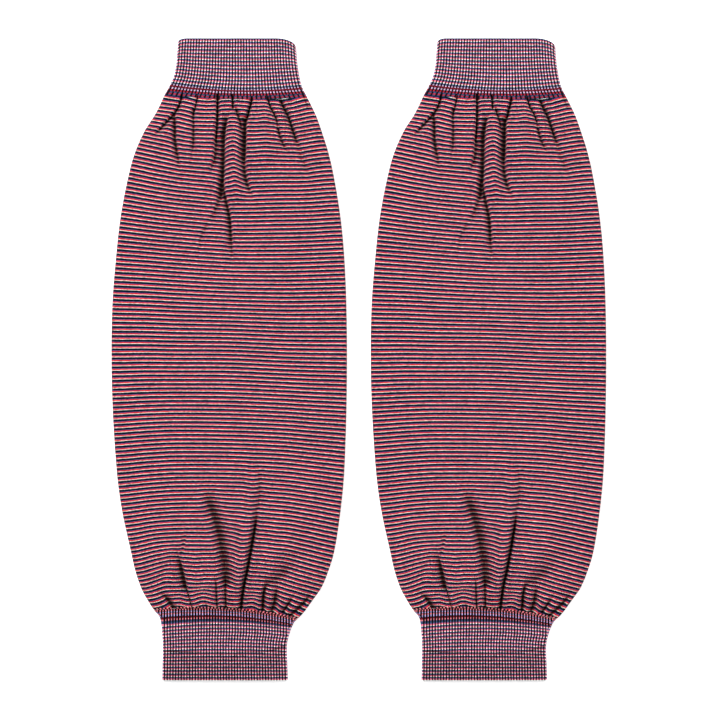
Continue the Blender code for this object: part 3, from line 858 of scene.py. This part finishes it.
def bodyPiece(side, centre, upperEnd, material):
    start = sleeve["upperSeam"] + sleeve["seamGap"] / 2
    end = sleeve["lowerSeam"] - sleeve["seamGap"] / 2
    s = spread(start, end, body["rows"], body["rowCrowding"])
    rings = layRings(s, body["columns"], body["backColumns"], body["sideWales"], body["walesAcross"])
    front, across, down = rings["front"], rings["across"], rings["down"]
    x, frontDown = rings["x"][:, front], down[:, front]
    depth, paintedShade, slide = creaseField(x, frontDown)
    waves, shift = waveField(x, frontDown)
    dome = 1 - np.abs(2 * across[:, front] - 1) ** sleeve["domeEdge"]
    inner = np.minimum(1.0, dome * sleeve["sideEase"])
    relief = readOutline("swell", frontDown) * dome
    relief += (waves + rippleField(x, frontDown) - depth) * inner
    # the last ribs of the cuffs run a little way into the body
    fromUpper, fromLower = rings["s"][:, front] - s[0], s[-1] - rings["s"][:, front]
    ribs = 0.5 - 0.5 * np.cos(2 * math.pi * body["ribs"] * np.linspace(0, 1, body["columns"] + 1))
    toSeam = np.minimum(fromUpper / body["upperRibFade"], fromLower / body["lowerRibFade"])
    relief += body["ribHeight"] * ribs * smoothStep(1.0, 0.0, toSeam)
    rings["z"][:, front] = settle(sleeve["laidThickness"] + relief)
    # painted shade in the notches between the ribs at the lower seam
    paintedShade = np.maximum(paintedShade, (1 - ribs) * smoothStep(body["notchDepth"], 0.0, fromLower))
    allPaintedShade, allSlide = np.zeros(across.shape), np.zeros(across.shape)
    allPaintedShade[:, front], allSlide[:, front] = paintedShade, slide + shift
    # the charted rows of the upper half slide with the stripes, and the lower ones stay at their seam
    rings["s"] = rings["s"] - allSlide * (rings["s"] < body["stripeStart"])
    fromStart = down - courseSagAt(across, down) - allSlide - body["stripeStart"]
    course = fromStart / body["courseHeight"] + body["stripeLead"]
    return tubeObject(f"{side}BodyKnit", rings, course, allPaintedShade, centre, upperEnd, material)


# the cuffs

upperLook = {
    "dark": (0.006, 0.08, 0.17, 1), "blue": (0.12, 0.10, 0.25, 1), "red": (0.94, 0.18, 0.26, 1),
    "light": (0.93, 0.95, 0.90, 1), "borders": (0.17, 0.46, 0.77, 0.95), "blend": 0.03,
    # gapShade and stitchShade are painted shade: in the troughs between the ribs and at the edges of each
    # course
    "waleWidth": 0.52, "gapShade": 0.88, "stitchShade": 0.2,
    "speckle": 0.8, "streak": 0.2, "patch": 0.1, "fibre": 0.35 * mm, "fuzz": 0.25,
    "creaseEdge": (0.0, 1.0), "creaseShade": 0.0, "charts": (),
    "specular": 0.06, "sheen": 0.03, "bump": 0.5, "bumpHeight": 0.3 * mm,
}
lowerLook = dict(
    upperLook, dark=(0.006, 0.065, 0.13, 1), blue=(0.13, 0.10, 0.25, 1), red=(0.98, 0.19, 0.29, 1),
    light=(0.99, 0.97, 0.94, 1), borders=(0.22, 0.48, 0.785, 0.96), waleWidth=0.5, gapShade=0.92,
    # painted shade below the pressed crease
    creaseShade=0.2,
    charts=({
        "start": 428.6, "length": 8.4, "ribPerWale": 1.0, "markEdge": (0.44, 0.22),
        "rows": (
            (0.0, inkAndTroughShade, inkAndTroughShade),
            (0.6, inkAndTroughShade, coral),
            (1.6, inkAndTroughShade, inkAndTroughShade),
            (1.9, inkAndTroughShade, lilac),
            (2.8, inkAndTroughShade, inkAndTroughShade),
            (3.1, inkAndTroughShade, coral),
            (3.9, inkAndTroughShade, lilac),
            (5.0, inkAndTroughShade, inkAndTroughShade),
            (5.5, darkRed, darkRed),
            (6.4, inkAndTroughShade, coral),
            (7.4, inkAndTroughShade, slate),
        ),
    },),
)

upperCuff = {
    "ribs": 41,
    "columnsPerRib": 6,
    "sideWales": 1,
    "courses": 40,
    "rowsPerCourse": 3,
    "courseShift": 0.25,  # of the raised stitches, in courses
    "ribHeight": 0.95 * mm,
    "ribMiddle": 0.45,  # the share of a rib's height that lies under the laid thickness
    "ribRoundness": 0.7,
    "stitchHeight": 0.22 * mm,
    "flat": (0.187, 0.0375),
}

lowerCuff = {
    "ribs": 43,
    "columnsPerRib": 6,
    "sideWales": 1,
    "courses": 60,
    "rowsPerCourse": 3,
    "courseShift": 0.25,
    "ribHeight": 0.95 * mm,
    "ribMiddle": 0.45,
    "ribRoundness": 0.7,
    "stitchHeight": 0.2 * mm,
    "flat": (0.194, 0.0524),
    "straightAbove": 446.0 * mm,  # the ribs don't follow the outline above this row
    # the pressed crease across the cuff
    "creaseKeys": (-50.0, -38.0, -24.0, 0.0, 28.0, 43.0),
    "creaseAt": (459.2, 459.8, 460.6, 461.0, 459.6, 455.4),
    "creaseHeight": (1.8, 1.6, 0.7, 0.3, 0.6, 1.6),
    # share of that height, how far below the crease line, and width
    "ridge": (0.7, -1.3 * mm, 1.2 * mm),
    "groove": (-0.9, 0.9 * mm, 0.9 * mm),
    # painted shade below the pressed crease, where the cloth leans back
    "shade": (-2.0 * mm, 1.0 * mm),  # the cloth leans back, darker, from the one to the other
}


def pressedCrease(cuff, x, down):
    # a ridge with a groove right below it, and a painted shade mask for how far the cloth leans back under it
    keys = np.array(cuff["creaseKeys"]) * mm
    inX = np.clip(x, keys[0], keys[-1])
    below = down - np.interp(inX, keys, np.array(cuff["creaseAt"]) * mm)
    strength = np.interp(inX, keys, cuff["creaseHeight"]) * mm
    bends = [share * bell(below - place, width) for share, place, width in (cuff["ridge"], cuff["groove"])]
    return strength * (bends[0] + bends[1]), smoothStep(*cuff["shade"], below)


def cuffPiece(name, cuff, start, end, centre, upperEnd, material):
    rows = cuff["courses"] * cuff["rowsPerCourse"] + 1
    columns = cuff["ribs"] * cuff["columnsPerRib"]
    s = np.linspace(start, end, rows)
    rings = layRings(s, columns, cuff["ribs"], cuff["sideWales"], cuff["ribs"])
    front = rings["front"]
    across, x, down = rings["across"][:, front], rings["x"][:, front], rings["down"][:, front]
    course = np.linspace(0, cuff["courses"], rows)[:, None] * np.ones_like(rings["x"])
    dome = 1 - np.abs(2 * across - 1) ** sleeve["domeEdge"]
    if "straightAbove" in cuff:
        left, right = sidesOf(np.maximum(rings["s"][:, :1], cuff["straightAbove"]))
        width = right - left - 2 * sleeve["foldRadius"]
        rings["wale"][:, front] = (x - left - sleeve["foldRadius"]) / width * cuff["ribs"]
    crest = (0.5 - 0.5 * np.cos(2 * math.pi * rings["wale"][:, front])) ** cuff["ribRoundness"]
    stitch = 0.5 - 0.5 * np.cos(2 * math.pi * (course[:, front] + cuff["courseShift"]))
    relief = readOutline("swell", down) * dome + cuff["ribHeight"] * (crest - cuff["ribMiddle"])
    relief += cuff["stitchHeight"] * stitch * crest
    relief += rippleField(x, down) * np.minimum(1.0, dome * sleeve["sideEase"])
    paintedShade = np.zeros(rings["x"].shape)
    if "creaseAt" in cuff:
        # the painted shade below the pressed crease
        crease, paintedShade[:, front] = pressedCrease(cuff, x, down)
        relief += crease
    rings["z"][:, front] = settle(sleeve["laidThickness"] + relief)
    return tubeObject(name, rings, course, paintedShade, centre, upperEnd, material)


bodyKnit = knitMaterial("bodyKnit", bodyLook)
upperKnit = knitMaterial("upperCuffKnit", upperLook)
lowerKnit = knitMaterial("lowerCuffKnit", lowerLook)
print("knit materials made")

for side in ("left", "right"):
    low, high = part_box(f"{side}_body")
    centre = (low.x + high.x) / 2 - (outline["right"].max() - outline["left"].max()) / 2
    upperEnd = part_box(f"{side}_upper_cuff")[1].y
    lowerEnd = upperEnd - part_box(f"{side}_lower_cuff")[0].y
    upperSeam = sleeve["upperSeam"] - sleeve["seamGap"] / 2
    lowerSeam = sleeve["lowerSeam"] + sleeve["seamGap"] / 2
    middlePiece = bodyPiece(side, centre, upperEnd, bodyKnit)
    upperPiece = cuffPiece(
        f"{side}UpperCuffKnit", upperCuff, 0.0, upperSeam, centre, upperEnd, upperKnit)
    lowerPiece = cuffPiece(
        f"{side}LowerCuffKnit", lowerCuff, lowerSeam, lowerEnd, centre, upperEnd, lowerKnit)
    faces = 0
    for piece, node, slot, settings in (
            (middlePiece, "body", "body_knit", body),
            (upperPiece, "upper_cuff", "cuff_knit", upperCuff),
            (lowerPiece, "lower_cuff", "cuff_knit", lowerCuff)):
        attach(piece, "root")
        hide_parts(f"{side}_{node}")
        faces += len(piece.data.polygons)
    print(f"{side} sleeve: axis {centre / mm:.2f} mm, {2 * faces} triangles")

# floor, camera and lights

picture = {
    "width": 539.6 * mm,  # what the picture's width covers at the cloth's height
    "clothHeight": 4.5 * mm,
    "centre": (0.74 * mm, -0.5 * mm),
    "distance": 2.6,
    "sensor": 36.0,
    "farthest": 10,
}

lights = {
    "worldStrength": 0.4,
    "worldColor": (1, 1, 1, 1),
    "keyPlace": (-1.5, 1.6, 2.6),
    "keySize": 1.0,
    "keyPower": 130.0,
    "fillPlace": (1.9, 0.6, 2.2),
    "fillSize": 1.6,
    "fillPower": 40.0,
}

paperLook = {
    "color": (0.93, 0.93, 0.93, 1),
    "glow": 0.5,
    "roughness": 0.95,
    "reach": 3.0,
    "below": 0.3 * mm,
}

floorMesh = bpy.data.meshes.new("floor")
floorCorners = [
    (x * paperLook["reach"], y * paperLook["reach"], -paperLook["below"])
    for x, y in ((-1, -1), (1, -1), (1, 1), (-1, 1))]
floorMesh.from_pydata(floorCorners, [], [(0, 1, 2, 3)])
floor = bpy.data.objects.new("floor", floorMesh)
bpy.context.scene.collection.objects.link(floor)
paper = bpy.data.materials.new("palePaper")
paper.use_nodes = True
paperShader = paper.node_tree.nodes["Principled BSDF"]
paperShader.inputs["Base Color"].default_value = paperLook["color"]
paperShader.inputs["Roughness"].default_value = paperLook["roughness"]
paperShader.inputs["Specular IOR Level"].default_value = 0.0
paperShader.inputs["Emission Color"].default_value = paperLook["color"]
paperShader.inputs["Emission Strength"].default_value = paperLook["glow"]
floorMesh.materials.append(paper)

camera = bpy.data.cameras.new("camera")
camera.sensor_width = picture["sensor"]
camera.lens = picture["sensor"] * (picture["distance"] - picture["clothHeight"]) / picture["width"]
camera.clip_end = picture["farthest"]
cameraObject = bpy.data.objects.new("camera", camera)
cameraObject.location = (*picture["centre"], picture["distance"])
bpy.context.scene.collection.objects.link(cameraObject)
bpy.context.scene.camera = cameraObject


def softLight(name, place, size, power):
    lamp = bpy.data.lights.new(name, "AREA")
    lamp.size = size
    lamp.energy = power
    lampObject = bpy.data.objects.new(name, lamp)
    lampObject.location = place
    direction = -lampObject.location.normalized()
    lampObject.rotation_euler = direction.to_track_quat("-Z", "Y").to_euler()
    bpy.context.scene.collection.objects.link(lampObject)


softLight("keyLight", lights["keyPlace"], lights["keySize"], lights["keyPower"])
softLight("fillLight", lights["fillPlace"], lights["fillSize"], lights["fillPower"])
world = bpy.data.worlds.new("studio")
world.use_nodes = True
background = world.node_tree.nodes["Background"]
background.inputs["Strength"].default_value = lights["worldStrength"]
background.inputs["Color"].default_value = lights["worldColor"]
bpy.context.scene.world = world
bpy.context.scene.view_settings.view_transform = "Standard"
print("floor, camera and lights placed")
